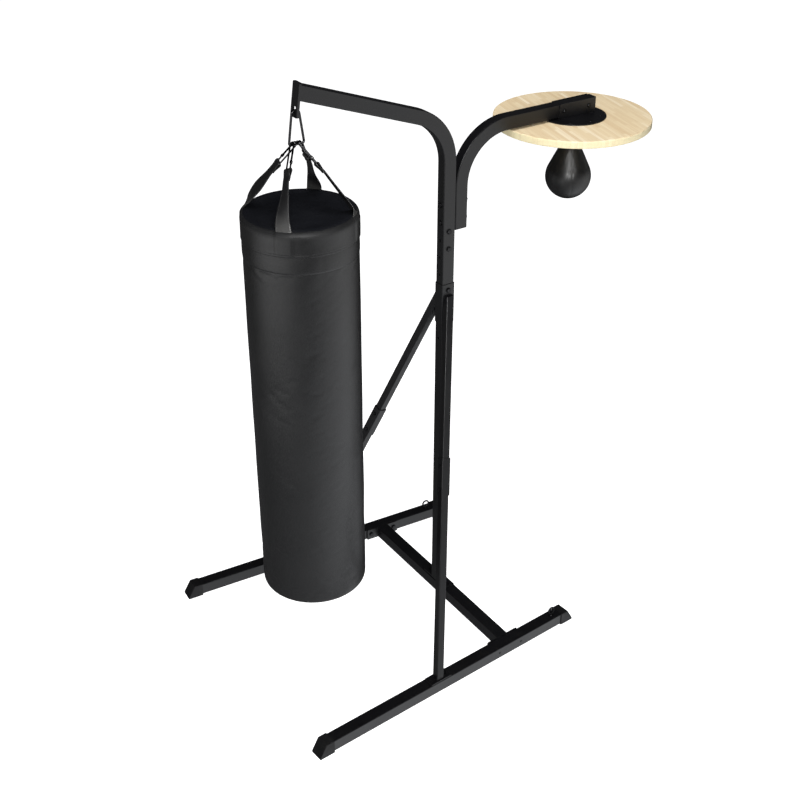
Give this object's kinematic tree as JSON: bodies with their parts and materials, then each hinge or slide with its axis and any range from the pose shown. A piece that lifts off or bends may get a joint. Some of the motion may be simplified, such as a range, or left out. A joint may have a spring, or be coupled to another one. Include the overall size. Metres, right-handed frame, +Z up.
{
  "type": "speed bag platform",
  "caption": "Free-standing boxing stand with a gooseneck mast for a hanging heavy bag and a round wooden speed-bag platform on a bent arm.",
  "frame": {"origin": "on the floor, under the middle of the whole stand's box; the centre plane of post, mast and both stations is Y = 0", "axes": "+Z up, +X from the post toward the speed-bag platform, +Y toward the rear leg"},
  "size_m": [1.7024, 1.0872, 2.1852],
  "materials": {
    "frame_paint": "satin black powder coat",
    "cap_plastic": "moulded black plastic",
    "black_zinc": "black zinc plate, worn bright at edges",
    "bright_zinc": "bright zinc plate",
    "gunmetal": "dark nickel plate",
    "board_wood": "lacquered beech strips, glued",
    "swivel_chrome": "turned and plated steel",
    "ball_leather": "black leather, sewn",
    "bladder_rubber": "thin rubber",
    "bag_vinyl": "smooth black vinyl",
    "bag_stuffing": "packed textile scrap",
    "bag_webbing": "black nylon webbing"
  },
  "bodies": {
    "stand": {"front_leg": "frame_paint", "rear_leg": "frame_paint", "crossbar": "frame_paint", "lower_post": "frame_paint", "post_sleeve": "frame_paint", "mast": "frame_paint", "speed_arm": "frame_paint", "platform_bracket": "frame_paint", "front_brace_upper": "frame_paint", "front_brace_sleeve": "frame_paint", "front_brace_lower": "frame_paint", "rear_brace_upper": "frame_paint", "rear_brace_sleeve": "frame_paint", "rear_brace_lower": "frame_paint", "front_leg_left_cap": "cap_plastic", "front_leg_right_cap": "cap_plastic", "rear_leg_left_cap": "cap_plastic", "rear_leg_right_cap": "cap_plastic", "speed_arm_lower_plug": "cap_plastic", "speed_arm_end_plug": "cap_plastic", "crossbar_bolts": "black_zinc", "post_foot_bolts": "black_zinc", "sleeve_bolts": "black_zinc", "mast_side_bolts": "black_zinc", "brace_bolts": "black_zinc", "brace_foot_screws": "black_zinc", "speed_arm_bolts": "black_zinc", "bracket_bolts": "black_zinc", "board_screws": "black_zinc", "flange_nuts_m10": "black_zinc", "flange_nuts_m8": "black_zinc", "swivel_screws": "black_zinc", "board_tee_nuts": "bright_zinc", "front_eye_bolt": "black_zinc", "rear_eye_bolt": "black_zinc", "platform_board": "board_wood", "swivel_flange": "swivel_chrome"},
    "delta_link": {"delta_link": "gunmetal"},
    "heavy_bag": {"bag_shell": "bag_vinyl", "bag_collar": "bag_vinyl", "bag_lid": "bag_vinyl", "bag_filling": "bag_stuffing", "snap_hook_back": "gunmetal", "snap_hook_left": "gunmetal", "snap_hook_front": "gunmetal", "snap_hook_right": "gunmetal", "bag_strap_back": "bag_webbing", "bag_strap_left": "bag_webbing", "bag_strap_front": "bag_webbing", "bag_strap_right": "bag_webbing"},
    "swivel_stem": {"swivel_stem": "swivel_chrome"},
    "swivel_link": {"swivel_link": "swivel_chrome"},
    "speed_ball": {"speed_ball_shell": "ball_leather", "speed_ball_bladder": "bladder_rubber", "speed_ball_loop": "ball_leather"},
    "gate_back": {"snap_gate_back": "gunmetal"},
    "gate_left": {"snap_gate_left": "gunmetal"},
    "gate_front": {"snap_gate_front": "gunmetal"},
    "gate_right": {"snap_gate_right": "gunmetal"}
  },
  "joints": [
    {"name": "link_rock", "type": "hinge", "parent": "stand", "child": "delta_link", "pos_m": [-0.53887, 0, 2.0838], "axis": [0, 1, 0], "range_deg": [-10, 30]},
    {"name": "bag_swing", "type": "hinge", "parent": "delta_link", "child": "heavy_bag", "pos_m": [-0.53887, 0, 1.991], "axis": [1, 0, 0], "range_deg": [-25, 25]},
    {"name": "ball_spin", "type": "hinge", "parent": "stand", "child": "swivel_stem", "pos_m": [0.57133, 0, 1.833], "axis": [0, 0, 1], "continuous": true},
    {"name": "fork_rock", "type": "hinge", "parent": "swivel_stem", "child": "swivel_link", "pos_m": [0.57133, 0, 1.813], "axis": [1, 0, 0], "range_deg": [-50, 50]},
    {"name": "ball_rock", "type": "hinge", "parent": "swivel_link", "child": "speed_ball", "pos_m": [0.57133, 0, 1.793], "axis": [0, 1, 0], "range_deg": [-50, 50]},
    {"name": "gate_back_swing", "type": "hinge", "parent": "heavy_bag", "child": "gate_back", "pos_m": [-0.49944, 0.0328, 1.9537], "axis": [0.8519, 0, 0.5237], "range_deg": [0, 14], "stiffness_Nm_per_rad": 0.02},
    {"name": "gate_left_swing", "type": "hinge", "parent": "heavy_bag", "child": "gate_left", "pos_m": [-0.57079, 0.0328, 1.9537], "axis": [0.8519, 0, -0.5237], "range_deg": [0, 14], "stiffness_Nm_per_rad": 0.02},
    {"name": "gate_front_swing", "type": "hinge", "parent": "heavy_bag", "child": "gate_front", "pos_m": [-0.57829, -0.0328, 1.9537], "axis": [-0.8519, 0, 0.5237], "range_deg": [0, 14], "stiffness_Nm_per_rad": 0.02},
    {"name": "gate_right_swing", "type": "hinge", "parent": "heavy_bag", "child": "gate_right", "pos_m": [-0.50694, -0.0328, 1.9537], "axis": [-0.8519, 0, -0.5237], "range_deg": [0, 14], "stiffness_Nm_per_rad": 0.02}
  ]
}
